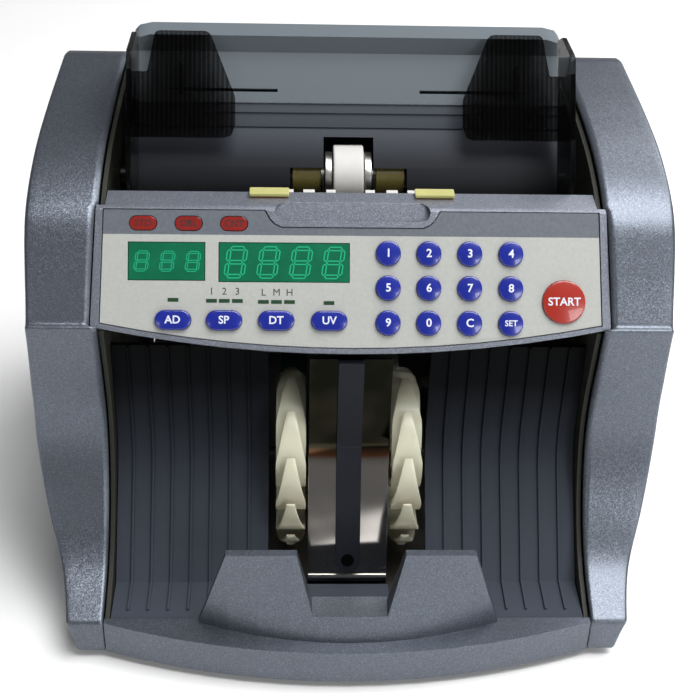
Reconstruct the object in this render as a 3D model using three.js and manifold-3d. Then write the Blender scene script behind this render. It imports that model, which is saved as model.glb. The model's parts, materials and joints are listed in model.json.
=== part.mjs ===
// A friction banknote counter: a sloping hopper with two sliding note guides at the top, a control
// panel with round keys on the front slope, and a stacker pocket with two finger wheels below it.
// Millimetres, +Z up, +Y towards the back, origin under the middle of the machine on the table.
import * as THREE from "three";
import { mergeVertices } from "three/addons/utils/BufferGeometryUtils.js";
import Module from "manifold-3d";

const wasm = await Module();
wasm.setup();

// ---- driving dimensions --------------------------------------------------------------------
const GAP = 0.4; // clearance between neighbouring pieces
const FOOT_HEIGHT = 3.2;
const BASE_Z = 3.6; // underside of the casing
const LIP_Z = 20; // top of the front lip and of the toe of each side cover
const INNER_X = 101.7; // inner face of the side covers
const PLATE_X = 99.4; // inner face of the steel side plates
const PLATE_THICK = 1.8;
const SKIN = 2.6; // wall of the plastic covers
const FRONT_Y = -120; // middle of the bowed front lip
const TOE_Y = -102.7; // front of the side covers' toes
const BACK_Y = 119.2; // back of the side covers
const COVER_TOP = 184;
const RIM_TOP = 209.8; // top of the hopper rim
const RIM_X = 94; // half width of the hopper unit
const SLOPE = THREE.MathUtils.degToRad(36); // panel and hopper bed, from the vertical
const SLOPE_Y = -55; // a point on the panel's face: the origin of the sloping frame
const SLOPE_Z = 124.9;
const BED_DEPTH = 49; // hopper bed, behind the panel's face
const PANEL_TOP = 57.6; // sloping distances on the panel
const PANEL_BOTTOM = 8.7;
const PANEL_BOW = 10.3; // how far the panel's lower edge drops in its middle
const PANEL_TOP_X = 102.4;
const PANEL_BOTTOM_X = 104.4;
const PANEL_DEPTH = 19;
const KEY_D = 9.6;
const KEY_RISE = 1.7;
const START_D = 17;
const WHEEL_Y = -34; // stacker wheel centre
const WHEEL_Z = 53.3;
const WHEEL_R = 39;
const WHEEL_X = 24.4;
const WHEEL_WIDTH = 12.6;
const FINGERS = 12;
const PICKUP_Y = 37.5; // pick-up roller centre, behind the hopper tray
const PICKUP_Z = 153.8;
const PICKUP_R = 14;
const SIDE_ROLLER_R = 9.4;
const FEED_Y = 4; // feed drum centre
const FEED_Z = 118;
const FEED_R = 22;
const MOTOR_Y = 74;
const MOTOR_Z = 42;
const BELT_X = 104.5; // inner edge of the drive belt, outside the right side plate
const BELT_WIDTH = 8;

// ---- solids --------------------------------------------------------------------------------
const solidOf = (geometry) => {
  const bare = geometry.index ? geometry.toNonIndexed() : geometry.clone();
  for (const name of Object.keys(bare.attributes)) if (name !== "position") bare.deleteAttribute(name);
  const merged = mergeVertices(bare, 1e-4);
  return new wasm.Manifold(new wasm.Mesh({
    numProp: 3,
    vertProperties: new Float32Array(merged.attributes.position.array),
    triVerts: new Uint32Array(merged.index.array),
  }));
};
const geometryOf = (solid) => {
  const mesh = solid.getMesh();
  const geometry = new THREE.BufferGeometry();
  geometry.setAttribute("position", new THREE.BufferAttribute(new Float32Array(mesh.vertProperties), 3));
  geometry.setIndex(new THREE.BufferAttribute(new Uint32Array(mesh.triVerts), 1));
  const flat = geometry.toNonIndexed();
  flat.computeVertexNormals();
  return flat;
};
const join = (first, ...others) => others.reduce((sum, next) => sum.add(next), first);
const cut = (first, ...others) => others.reduce((sum, next) => sum.subtract(next), first);

const shapeOf = (points) => new THREE.Shape(points.map(([a, b]) => new THREE.Vector2(a, b)));
const extruded = (points, depth) =>
  new THREE.ExtrudeGeometry(shapeOf(points), { depth, bevelEnabled: false, curveSegments: 12 });
const axes = (x, y, z, origin = [0, 0, 0]) =>
  new THREE.Matrix4().makeBasis(new THREE.Vector3(...x), new THREE.Vector3(...y), new THREE.Vector3(...z))
    .setPosition(...origin);

// An outline of (y, z) points, pushed along X from x0 to x1.
const alongX = (points, x0, x1) =>
  solidOf(extruded(points, x1 - x0).applyMatrix4(axes([0, 1, 0], [0, 0, 1], [1, 0, 0], [x0, 0, 0])));
// An outline of (x, z) points, pushed along Y from y0 to y1.
const alongY = (points, y0, y1) =>
  solidOf(extruded(points, y1 - y0).applyMatrix4(axes([1, 0, 0], [0, 0, 1], [0, -1, 0], [0, y1, 0])));
// An outline of (x, y) points, pushed along Z from z0 to z1.
const alongZ = (points, z0, z1) => solidOf(extruded(points, z1 - z0).translate(0, 0, z0));
const box = (x0, x1, y0, y1, z0, z1) =>
  solidOf(new THREE.BoxGeometry(x1 - x0, y1 - y0, z1 - z0)
    .translate((x0 + x1) / 2, (y0 + y1) / 2, (z0 + z1) / 2));
// A round bar along X.
const barX = (radius, x0, x1, y = 0, z = 0, sides = 24) =>
  solidOf(new THREE.CylinderGeometry(radius, radius, x1 - x0, sides)
    .rotateZ(Math.PI / 2).translate((x0 + x1) / 2, y, z));
const barY = (radius, y0, y1, x, z, sides = 20) =>
  solidOf(new THREE.CylinderGeometry(radius, radius, y1 - y0, sides).translate(x, (y0 + y1) / 2, z));
const barZ = (radius, z0, z1, x = 0, y = 0, sides = 20) =>
  solidOf(new THREE.CylinderGeometry(radius, radius, z1 - z0, sides)
    .rotateX(Math.PI / 2).translate(x, y, (z0 + z1) / 2));

// The sloping frame: v runs up the panel and w out of its face. Gives (y, z).
const sloping = (v, w) => [
  SLOPE_Y + v * Math.sin(SLOPE) - w * Math.cos(SLOPE),
  SLOPE_Z + v * Math.cos(SLOPE) + w * Math.sin(SLOPE),
];
const slopeMatrix = axes(
  [1, 0, 0],
  [0, Math.sin(SLOPE), Math.cos(SLOPE)],
  [0, -Math.cos(SLOPE), Math.sin(SLOPE)],
  [0, SLOPE_Y, SLOPE_Z],
);
const onSlope = (solid) => solid.transform(slopeMatrix.elements);

// A closed outline moved inwards by t, edge by edge.
const inset = (points, t) => {
  const n = points.length;
  const turn = Math.sign(THREE.ShapeUtils.area(points.map(([a, b]) => new THREE.Vector2(a, b))));
  return points.map((p, i) => {
    const before = points[(i + n - 1) % n];
    const after = points[(i + 1) % n];
    const a = new THREE.Vector2(p[0] - before[0], p[1] - before[1]).normalize();
    const b = new THREE.Vector2(after[0] - p[0], after[1] - p[1]).normalize();
    const normalA = new THREE.Vector2(-a.y, a.x).multiplyScalar(turn);
    const normalB = new THREE.Vector2(-b.y, b.x).multiplyScalar(turn);
    const mid = normalA.add(normalB);
    const scale = (2 * t) / mid.lengthSq();
    return [p[0] + mid.x * scale, p[1] + mid.y * scale];
  });
};
// Points of a smooth curve through the given ones.
const smooth = (points, steps) =>
  new THREE.SplineCurve(points.map(([a, b]) => new THREE.Vector2(a, b))).getPoints(steps)
    .map((p) => [p.x, p.y]);
// A bent line moved sideways by t, to the left of its direction, with mitred corners.
const shifted = (line, t) =>
  line.map((p, i) => {
    const a = line[Math.max(i - 1, 0)];
    const b = line[Math.min(i + 1, line.length - 1)];
    const before = new THREE.Vector2(p[0] - a[0], p[1] - a[1]).normalize();
    const after = new THREE.Vector2(b[0] - p[0], b[1] - p[1]).normalize();
    const u = i === 0 ? after : before;
    const v = i === line.length - 1 ? before : after;
    const mid = new THREE.Vector2(-u.y - v.y, u.x + v.x);
    const scale = (2 * t) / mid.lengthSq();
    return [p[0] + mid.x * scale, p[1] + mid.y * scale];
  });
// A bent sheet between two shifted copies of a line.
const sheet = (line, from, to) => [...shifted(line, from), ...shifted(line, to).reverse()];

const model = new THREE.Group();
const add = (name, solid, material) => {
  const mesh = new THREE.Mesh(geometryOf(solid), material);
  mesh.name = name;
  model.add(mesh);
};
const finish = (color, roughness, metalness = 0) =>
  new THREE.MeshStandardMaterial({ color, roughness, metalness });
const PAINT = finish(0x5c6672, 0.42, 0.35);
const DARK_PAINT = finish(0x363c47, 0.55, 0.1);
const BED = finish(0x78858d, 0.5, 0.15);
const SMOKED = finish(0x17181a, 0.15);
const STEEL = finish(0xb8b6b0, 0.25, 1);
const MIRROR = finish(0xd4cfcb, 0.06, 1);
const CREAM = finish(0xd6cfa6, 0.4);
const WHITE = finish(0xe8e6e2, 0.6);
const YELLOW = finish(0xc9bb62, 0.6);
const AMBER = finish(0x6b5c16, 0.35);
const BLACK = finish(0x1a1a1c, 0.6);
const GREEN_BOARD = finish(0x1f5a34, 0.5);
const OVERLAY = finish(0xc6c7c0, 0.5);
const GREEN = finish(0x0b7350, 0.3);
const BLUE = finish(0x1c2cc0, 0.25);
const RED = finish(0xc0281f, 0.25);

// ---- casing --------------------------------------------------------------------------------
// Side profile of the covers: toe, hollow waist, nose, slope beside the panel, flat top, back.
const PROFILE_STEPS = 14;
const waist = smooth([[TOE_Y, LIP_Z], [-78.5, 30], [-61.5, 47], [-50.5, 68], [-47, 88], [-49.5, 112],
  [-52.5, 133.6]], PROFILE_STEPS);
const shoulder = smooth([sloping(9.3, 0.6), sloping(34, 1.6), sloping(57, -1), [8, 180.2],
  [45, COVER_TOP - 0.6], [98.9, COVER_TOP]], PROFILE_STEPS);
const heel = smooth([[98.9, COVER_TOP], [111, 180], [117, 170], [BACK_Y, 150]], 5).slice(1);
const coverProfile = [[TOE_Y, BASE_Z], ...waist, ...shoulder, ...heel, [BACK_Y, BASE_Z]];
// Half width of the covers at each height: tucked in at the toe, fullest at mid height.
const flank = smooth([[113.5, BASE_Z], [117.3, LIP_Z], [127, 44], [131.3, 68], [131.6, 92], [130, 132],
  [130.6, 160], [130.4, COVER_TOP + 2]], 16);
const flankSolid = (t, innerX, side) => {
  const outline = [[innerX, BASE_Z - 5], [flank[0][0] - t, BASE_Z - 5], ...flank.map(([x, z]) => [x - t, z]),
    [innerX, COVER_TOP + 2]];
  return alongY(outline.map(([x, z]) => [x * side, z]), TOE_Y - 5, BACK_Y + 5);
};
const panelOutline = (grow) => {
  const steps = 12;
  const x = PANEL_BOTTOM_X + grow;
  const arc = Array.from({ length: steps + 1 }, (_, i) => {
    const s = -1 + (2 * i) / steps;
    return [s * x, PANEL_BOTTOM - grow - PANEL_BOW * (1 - s * s)];
  });
  return [...arc, [PANEL_TOP_X + grow, PANEL_TOP + grow], [-PANEL_TOP_X - grow, PANEL_TOP + grow]];
};
const panelPrism = (grow, w0, w1) => onSlope(alongZ(panelOutline(grow), w0, w1));

const COVER_REACH = 140; // beyond the widest point of the covers
const sideCover = (side) => {
  const span = (t, x0) => {
    const [from, to] = side > 0 ? [x0, COVER_REACH] : [-COVER_REACH, -x0];
    return alongX(inset(coverProfile, t), from, to);
  };
  const outer = span(0, INNER_X).intersect(flankSolid(0, INNER_X, side));
  const hollow = span(SKIN, INNER_X - 1).intersect(flankSolid(SKIN, INNER_X - 1, side));
  return cut(outer, hollow, panelPrism(GAP, -PANEL_DEPTH - 2, 8));
};
add("side_cover_left", sideCover(-1), PAINT);
add("side_cover_right", sideCover(1), PAINT);

// Steel side plates, with holes for the shafts' bushes.
const shaftHoles = [[WHEEL_Y, WHEEL_Z], [PICKUP_Y, PICKUP_Z], [FEED_Y, FEED_Z]];
const SHAFT_R = 4;
const sidePlate = (side) => {
  const outline = inset(coverProfile, SKIN + 0.6);
  const x0 = side > 0 ? PLATE_X : -PLATE_X - PLATE_THICK;
  const plate = alongX(outline, x0, x0 + PLATE_THICK);
  const holes = shaftHoles.map(([y, z]) => barX(SHAFT_R + GAP, x0 - 1, x0 + PLATE_THICK + 1, y, z, 16));
  const motorHole = barX(12, x0 - 1, x0 + PLATE_THICK + 1, MOTOR_Y, MOTOR_Z, 20);
  const lipRoom = box(x0 - 1, x0 + PLATE_THICK + 1, -110, -99.6, 0, LIP_Z + GAP);
  const kept = cut(plate, ...holes, lipRoom, panelPrism(GAP, -PANEL_DEPTH - 2, 8));
  return side > 0 ? kept.subtract(motorHole) : kept;
};
add("side_plate_left", sidePlate(-1), STEEL);
add("side_plate_right", sidePlate(1), STEEL);

add("base_pan", box(-PLATE_X + GAP, PLATE_X - GAP, -98, 114, BASE_Z + 0.4, BASE_Z + 3), STEEL);
const FOOT_R = 8.5;
const FOOT_X = 100;
for (const [end, y] of [["front", -84], ["rear", 98]])
  for (const [side, x] of [["left", -FOOT_X], ["right", FOOT_X]])
    add(`foot_${end}_${side}`, barZ(FOOT_R, 0, FOOT_HEIGHT, x, y, 16), BLACK);

// Front molding: bowed lip, and the wall with two ears that keeps the notes in the pocket.
const FRONT_X = INNER_X - GAP;
const frontArc = (sagitta, halfWidth, middleY, steps = 14) =>
  Array.from({ length: steps + 1 }, (_, i) => {
    const s = -1 + (2 * i) / steps;
    return [s * halfWidth, middleY + sagitta * s * s];
  });
const LIP_BACK = -100;
const LIP_BOW = TOE_Y - FRONT_Y;
const lipOutline = [...frontArc(LIP_BOW, FRONT_X, FRONT_Y), [FRONT_X, LIP_BACK], [-FRONT_X, LIP_BACK]];
const LIP_HOLLOW_X = 75;
const LIP_HOLLOW_BACK = LIP_BACK - 1.8;
const lipHollow = [...frontArc(LIP_BOW * (LIP_HOLLOW_X / FRONT_X) ** 2, LIP_HOLLOW_X, FRONT_Y + SKIN),
  [LIP_HOLLOW_X, LIP_HOLLOW_BACK], [-LIP_HOLLOW_X, LIP_HOLLOW_BACK]];
const lip = alongZ(lipOutline, BASE_Z, LIP_Z).subtract(alongZ(lipHollow, BASE_Z - 1, LIP_Z - SKIN));
const EAR_TOP = 60;
const EAR_FOOT_X = 62.3;
const EAR_TOP_Y = -105;
const EAR_THICK = 3.5;
const earWall = (thickness) => {
  // A ruled wall: its foot follows a tight bow and its top edge is straight.
  const steps = 10;
  const foot = frontArc(12.2, EAR_FOOT_X, -114.4, steps);
  const ring = (i) => {
    const [x, y] = foot[i];
    const footBack = Math.max(y, EAR_TOP_Y) + thickness;
    return [[x, y, LIP_Z - 1], [x, EAR_TOP_Y, EAR_TOP], [x, EAR_TOP_Y + thickness, EAR_TOP],
      [x, footBack, LIP_Z - 1]];
  };
  const faces = [];
  const quad = (a, b, c, d) => faces.push(...a, ...b, ...c, ...a, ...c, ...d);
  for (let i = 0; i < steps; i++) {
    const p = ring(i);
    const q = ring(i + 1);
    for (let k = 0; k < 4; k++) quad(p[k], q[k], q[(k + 1) % 4], p[(k + 1) % 4]);
  }
  const first = ring(0);
  const last = ring(steps);
  quad(first[0], first[1], first[2], first[3]);
  quad(last[3], last[2], last[1], last[0]);
  const geometry = new THREE.BufferGeometry();
  geometry.setAttribute("position", new THREE.BufferAttribute(new Float32Array(faces), 3));
  return solidOf(geometry);
};
const SILL_X = 15.3; // half width of the thumb gap at its foot
const SILL_Z = 32;
const SILL_BACK = -99.5;
const earOutline = [[-EAR_FOOT_X, LIP_Z - 2], [-EAR_FOOT_X, LIP_Z], [-50.1, EAR_TOP], [-21.8, EAR_TOP],
  [-SILL_X, SILL_Z], [SILL_X, SILL_Z], [21.8, EAR_TOP], [50.1, EAR_TOP], [EAR_FOOT_X, LIP_Z],
  [EAR_FOOT_X, LIP_Z - 2]];
const ears = earWall(EAR_THICK).intersect(alongY(earOutline, -125, -90));
const sill = earWall(19).intersect(box(-SILL_X - GAP, SILL_X + GAP, -125, SILL_BACK, LIP_Z - 1, SILL_Z));
add("front_molding", join(lip, ears, sill), PAINT);

// ---- stacker pocket ------------------------------------------------------------------------
const pocketLine = [[-99.6, 18.4], [-77, 18], [-44.5, 54.5], [-40, 62], [-37.5, 72], [-36.5, 114]];
const POCKET_X = PLATE_X - GAP;
const RIBS = 7;
const RIB_X = 42.3; // innermost rib
const RIB_PITCH = 8.3;
const RIB_RISE = 1.3;
// A box on one side of the machine, from |x| = inner to outer.
const sideBox = (side, inner, outer, ...rest) =>
  box(Math.min(side * inner, side * outer), Math.max(side * inner, side * outer), ...rest);
const wheelSlot = (side) => sideBox(side, 17.7, 34, -84, -20, 10, 110.5);
const ribLine = sheet([[-94, 18.3], ...pocketLine.slice(1)], -1, RIB_RISE);
const ribs = Array.from({ length: RIBS }, (_, i) => RIB_X + i * RIB_PITCH)
  .flatMap((x) => [-x, x]).map((x) => alongX(ribLine, x - 0.5, x + 0.5));
const plateRoom = box(-18, 18, -78, -40, 10, 46);
const pocketSheet = cut(alongX(sheet(pocketLine, -2.2, 0), -POCKET_X, POCKET_X),
  wheelSlot(-1), wheelSlot(1), plateRoom);
add("pocket_wall", join(pocketSheet, ...ribs), DARK_PAINT);

const stripLine = [[-75.4, 14], [-74.6, 20.4], [-55.8, 69], [-53.5, 74], [-52.5, 79], [-52.2, 118.5]];
const STRIP_X = 17;
add("stripper_plate", alongX(sheet(stripLine, -0.9, 0), -STRIP_X, STRIP_X), MIRROR);
const armLine = [[-77.6, 24.5], [-59.2, 71], [-57, 76], [-56, 81], [-55.7, 118.5]];
const arm = alongX(sheet(armLine, -3, 0), -5.2, 5.2);
const sensorHole = barY(3, -90, -60, 0, 29.5, 16);
add("sensor_arm", arm.subtract(sensorHole), DARK_PAINT);

// A stacker wheel: a hub with curved fingers that the notes drop between.
const HUB_R = 11;
const FIRST_TIP = THREE.MathUtils.degToRad(82.5);
const FINGER_SWEEP = THREE.MathUtils.degToRad(66);
const FINGER_ROOT = 0.17; // thickness of a finger at the hub, as an angle
const wheelOutline = () => {
  const pitch = (2 * Math.PI) / FINGERS;
  const at = (r, angle) => [r * Math.cos(angle), r * Math.sin(angle)];
  const steps = 5;
  const points = [];
  for (let i = 0; i < FINGERS; i++) {
    const base = FIRST_TIP + FINGER_SWEEP + i * pitch;
    const rise = (k, root) => {
      const t = k / steps;
      return at(HUB_R + (WHEEL_R - HUB_R) * t ** 0.8, base - FINGER_SWEEP * t * t + root * (1 - 0.55 * t));
    };
    for (let k = 0; k <= steps; k++) points.push(rise(k, 0));
    for (let k = steps; k >= 0; k--) points.push(rise(k, FINGER_ROOT));
  }
  return points;
};
const stackerWheel = (x) => {
  const outline = wheelOutline().map(([y, z]) => [WHEEL_Y + y, WHEEL_Z + z]);
  return alongX(outline, x - WHEEL_WIDTH / 2, x + WHEEL_WIDTH / 2)
    .subtract(barX(SHAFT_R + 0.3, x - 20, x + 20, WHEEL_Y, WHEEL_Z, 16));
};
add("stacker_wheel_left", stackerWheel(-WHEEL_X), CREAM);
add("stacker_wheel_right", stackerWheel(WHEEL_X), CREAM);

// ---- shafts, rollers and drive -------------------------------------------------------------
const shaft = (y, z) => barX(SHAFT_R, -PLATE_X - PLATE_THICK - 1, BELT_X + BELT_WIDTH + 2, y, z, 16);
const FLANGE_RISE = 1.8; // of each pulley's flange over its rim
const pulley = (radius, y, z) => join(
  barX(radius, BELT_X - 1, BELT_X + BELT_WIDTH + 1, y, z, 28),
  barX(radius + FLANGE_RISE, BELT_X - 1.9, BELT_X - 0.4, y, z, 28));
add("stacker_shaft", shaft(WHEEL_Y, WHEEL_Z), STEEL);
const STACKER_PULLEY_R = 14;
const FEED_PULLEY_R = 11;
const PICKUP_PULLEY_R = 11;
const MOTOR_PULLEY_R = 8;
add("stacker_pulley", pulley(STACKER_PULLEY_R, WHEEL_Y, WHEEL_Z)
  .subtract(barX(SHAFT_R + 0.3, BELT_X - 5, BELT_X + 20, WHEEL_Y, WHEEL_Z, 16)), BLACK);

const feedTyres = [-1, 1].map((side) => barX(FEED_R, side * 20 - 7, side * 20 + 7, FEED_Y, FEED_Z, 28));
add("feed_drum", join(barX(FEED_R - 4, -60, 60, FEED_Y, FEED_Z, 28), ...feedTyres, shaft(FEED_Y, FEED_Z),
  pulley(FEED_PULLEY_R, FEED_Y, FEED_Z)), BLACK);

const PICKUP_HUB_R = 11;
const pickupBar = (radius, x0, x1) => barX(radius, x0, x1, PICKUP_Y, PICKUP_Z, 28);
const ring = (radius, x0, x1) =>
  pickupBar(radius, x0, x1).subtract(pickupBar(SHAFT_R + 0.3, x0 - 1, x1 + 1));
const hubs = [-1, 1].map((side) => pickupBar(PICKUP_HUB_R, side * 8.6 - 1.6, side * 8.6 + 1.6));
const pickupPulley = pulley(PICKUP_PULLEY_R, PICKUP_Y, PICKUP_Z);
add("pickup_shaft", join(shaft(PICKUP_Y, PICKUP_Z), ...hubs, pickupPulley), STEEL);
add("pickup_roller", ring(PICKUP_R, -6.6, 6.6), WHITE);
add("side_roller_left", ring(SIDE_ROLLER_R, -24.6, -11.8), AMBER);
add("side_roller_right", ring(SIDE_ROLLER_R, 11.8, 24.6), AMBER);

const MOTOR_R = 27;
const motorCan = barX(MOTOR_R, 32, PLATE_X - GAP, MOTOR_Y, MOTOR_Z, 24);
const motorFoot = box(36, 90, MOTOR_Y - 16, MOTOR_Y + 16, BASE_Z + 3.6, MOTOR_Z);
add("motor", join(motorCan, motorFoot)
  .subtract(barX(SHAFT_R + 0.5, PLATE_X - 20, PLATE_X + 5, MOTOR_Y, MOTOR_Z, 16)), STEEL);
add("motor_pulley", join(barX(MOTOR_PULLEY_R, BELT_X - 1, BELT_X + BELT_WIDTH + 1, MOTOR_Y, MOTOR_Z, 20),
  barX(SHAFT_R, PLATE_X - 18, BELT_X + 5, MOTOR_Y, MOTOR_Z, 16)), STEEL);

// One toothed belt, as a loop round the outside of the four pulleys.
const beltStops = [[MOTOR_Y, MOTOR_Z, MOTOR_PULLEY_R], [PICKUP_Y, PICKUP_Z, PICKUP_PULLEY_R],
  [FEED_Y, FEED_Z, FEED_PULLEY_R], [WHEEL_Y, WHEEL_Z, STACKER_PULLEY_R]];
const beltLoop = (grow) => {
  const rims = beltStops.flatMap(([y, z, r]) =>
    Array.from({ length: 28 }, (_, i) => {
      const a = (i / 28) * 2 * Math.PI;
      return [y + (r + grow) * Math.cos(a), z + (r + grow) * Math.sin(a)];
    }));
  rims.sort((p, q) => p[0] - q[0] || p[1] - q[1]);
  const half = (list) => list.reduce((hull, p) => {
    const bends = () => {
      const [o, a] = [hull[hull.length - 2], hull[hull.length - 1]];
      return (a[0] - o[0]) * (p[1] - o[1]) - (a[1] - o[1]) * (p[0] - o[0]) <= 1e-9;
    };
    while (hull.length > 1 && bends()) hull.pop();
    hull.push(p);
    return hull;
  }, []);
  return [...half(rims).slice(0, -1), ...half([...rims].reverse()).slice(0, -1)];
};
const beltBack = alongX(beltLoop(2), BELT_X, BELT_X + BELT_WIDTH);
add("drive_belt", beltBack.subtract(alongX(beltLoop(0.5), BELT_X - 1, BELT_X + BELT_WIDTH + 1)), BLACK);

add("power_supply", box(-92, -38, 38, 100, BASE_Z + 3.6, 52), STEEL);
add("main_board", box(-30, 26, 30, 108, BASE_Z + 8, BASE_Z + 9.8), GREEN_BOARD);

// ---- hopper --------------------------------------------------------------------------------
// Profile of the hopper unit: rim, recessed bed on the slope, and the curve down to the throat.
const bedTop = sloping(130.5, -BED_DEPTH);
const BED_LOW_V = 98.3;
const bedLow = sloping(BED_LOW_V, -BED_DEPTH - 2.4);
const bedSteps = [sloping(108.4, -BED_DEPTH), sloping(108.4, -BED_DEPTH - 0.8),
  sloping(104.4, -BED_DEPTH - 0.8), sloping(104.4, -BED_DEPTH - 1.6), sloping(BED_LOW_V, -BED_DEPTH - 1.6)];
const bedLine = [[100.5, 175], [74, RIM_TOP], [60, RIM_TOP], bedTop, ...bedSteps, bedLow,
  ...smooth([bedLow, [30.5, 162.5], [21, 151], [17.5, 140]], 6).slice(1)];
const trayEnd = [[100.5, 175], [74, RIM_TOP], [60, RIM_TOP], bedTop, bedLow];
// Openings for the rollers, and room for them behind the curve.
const bedCuts = [
  box(-10.9, 10.9, 0, 45, 130, 171.4),
  barX(PICKUP_R + 0.6, -10.9, 10.9, PICKUP_Y, PICKUP_Z, 28),
  ...[-1, 1].map((side) => sideBox(side, 11.2, 25.4, 0, 45, 130, 161.9)),
  ...[-18.3, 18.3].map((x) => barX(SIDE_ROLLER_R + 0.5, x - 7.1, x + 7.1, PICKUP_Y, PICKUP_Z, 28)),
];
const SLOT_V = 113.9; // the guides' slots in the bed
const SLOT_HALF = 0.7;
const guideSlot = (side) =>
  onSlope(sideBox(side, 31, 78, SLOT_V - SLOT_HALF, SLOT_V + SLOT_HALF, -BED_DEPTH - 14, -BED_DEPTH + 1));
const rimCorner = [[RIM_X, RIM_TOP - 5], [RIM_X - 2.4, RIM_TOP - 1.8], [RIM_X - 8, RIM_TOP]];
const mirrored = (points) => points.map(([x, z]) => [-x, z]).reverse();
const rimOutline = [[-RIM_X, 120], [RIM_X, 120], ...rimCorner, ...mirrored(rimCorner)];
const tray = join(alongX(sheet(bedLine, 0, 3), -RIM_X, RIM_X), alongX(trayEnd, -RIM_X, -RIM_X + SKIN),
  alongX(trayEnd, RIM_X - SKIN, RIM_X)).intersect(alongY(rimOutline, 0, 120));
add("hopper_tray", cut(tray, ...bedCuts, guideSlot(-1), guideSlot(1)), BED);
// Rear cover from under the rim down to the base.
const INLET_X = -62;
const INLET_Z = 32;
const backPanel = alongX([[101.5, 171.5], [112, 166], [BACK_Y, 156], [BACK_Y, BASE_Z], [116.6, BASE_Z],
  [116.6, 155], [110.4, 163.2], [100.5, 168.3]], -PLATE_X + GAP, PLATE_X - GAP)
  .subtract(box(INLET_X - 14, INLET_X + 28, 110, 125, INLET_Z - 10, INLET_Z + 10));
const VENTS = 9;
const VENT_PITCH = 7;
const vents = Array.from({ length: VENTS }, (_, i) =>
  box(20 + i * VENT_PITCH, 23 + i * VENT_PITCH, 110, 125, 24, 74));
add("rear_cover", cut(backPanel, ...vents), DARK_PAINT);
const inlet = cut(box(INLET_X - 13.6, INLET_X + 13.6, 104, BACK_Y + 0.4, INLET_Z - 9.6, INLET_Z + 9.6),
  box(INLET_X - 11, INLET_X + 11, 108, 125, INLET_Z - 7, INLET_Z + 7));
const pins = [[-7, -1], [0, 3], [7, -1]].map(([x, z]) =>
  box(INLET_X + x - 1, INLET_X + x + 1, 106, 117, INLET_Z + z - 2, INLET_Z + z + 2));
const SWITCH_X = INLET_X + 21;
const INLET_HALF = 9.6; // half height of the inlet and of the switch frame
const switchFrame = cut(
  box(SWITCH_X - 7.6, SWITCH_X + 6.6, 104, BACK_Y + 0.4, INLET_Z - INLET_HALF, INLET_Z + INLET_HALF),
  box(SWITCH_X - 5, SWITCH_X + 5, 108, 125, INLET_Z - 8, INLET_Z + 8));
add("power_inlet", join(inlet, switchFrame, ...pins), BLACK);
const ROCKER_Y = 113; // the rocker's pivot
const rockerOutline = [[-3, 0], [0, -5.6], [5.4, -6], [5.5, 0], [7, 6], [0, 5.6]]
  .map(([y, z]) => [ROCKER_Y + y, INLET_Z + z]);
add("power_rocker", alongX(rockerOutline, SWITCH_X - 4.5, SWITCH_X + 4.5), RED);

// A note guide: a reeded plate over the bed, a side plate for the notes' ends, a foot in the slot.
const GUIDE_LIFT = -BED_DEPTH + 9.5; // face of the reeded plate
const FENCE_FACE = -11.5; // front edge of the side plate
const FENCE_X = 90.2;
const GUIDE_THICK = 2.2;
const guide = (side) => {
  const back = GUIDE_LIFT - GUIDE_THICK;
  const plate = shapeOf([[FENCE_X, 91.5], [92.4, 91.5], [92.4, 119.5], [86.6, 119.5], [83.4, 137.2],
    [60.2, 137.2], [49, 109], [49, 97], [50.4, 93.3], [54, 91.5]]);
  const thick = { depth: GUIDE_THICK, bevelEnabled: false };
  const reeded = solidOf(new THREE.ExtrudeGeometry(plate, thick).translate(0, 0, back));
  const wall = shapeOf([[back, 66], [-25, 62], [-16.5, 66.5], [FENCE_FACE, 68], [FENCE_FACE, 122],
    [-31, 134.5], [back, 135.5]]);
  const fence = solidOf(new THREE.ExtrudeGeometry(wall, thick)
    .applyMatrix4(axes([0, 0, 1], [0, 1, 0], [-1, 0, 0], [FENCE_X + GUIDE_THICK, 0, 0])));
  const foot = box(70.5, 75.5, SLOT_V - 0.35, SLOT_V + 0.35, -BED_DEPTH - 6, GUIDE_LIFT - 1);
  const shoe = box(67, 79, 109.5, 124, -BED_DEPTH + 0.4, GUIDE_LIFT - 1);
  const whole = join(reeded, fence, foot, shoe);
  return onSlope(side > 0 ? whole : whole.mirror([1, 0, 0]));
};
add("note_guide_left", guide(-1), SMOKED);
add("note_guide_right", guide(1), SMOKED);

// ---- control panel -------------------------------------------------------------------------
const OVERLAY_TOP = 55.6;
const OVERLAY_BOTTOM = 10.4;
const OVERLAY_TOP_X = 99.3;
const OVERLAY_BOTTOM_X = 100.6;
const OVERLAY_BOW = 9.6;
const RECESS_X = 31.3;
const RECESS_LOW = 51.4;
const overlayOutline = (shrink) => {
  const steps = 12;
  const x = OVERLAY_BOTTOM_X - shrink;
  const low = Array.from({ length: steps + 1 }, (_, i) => {
    const s = -1 + (2 * i) / steps;
    return [s * x, OVERLAY_BOTTOM + shrink - OVERLAY_BOW * (1 - s * s)];
  });
  const top = OVERLAY_TOP - shrink;
  const half = [[35.4, top], [33.2, 51.8 - shrink], [31.4, 50 - shrink], [28.6, 48.8 - shrink]]
    .map(([u, v]) => [u + shrink, v]);
  const notch = [...half, ...half.map(([u, v]) => [-u, v]).reverse()];
  return [...low, [OVERLAY_TOP_X - shrink, top], ...notch, [-OVERLAY_TOP_X + shrink, top]];
};
const OVERLAY_FACE = -0.4;
const OVERLAY_THICK = 1;
const keys = [];
const columns = [14.3, 30.6, 47.1, 63.7];
const rows = [38.8, 24.9, 10.9];
const names = ["1", "2", "3", "4", "5", "6", "7", "8", "9", "0", "clear", "set"];
rows.forEach((v, r) => columns.forEach((u, c) => {
  keys.push({ name: `key_${names[r * columns.length + c]}`, u, v, d: KEY_D });
}));
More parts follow.
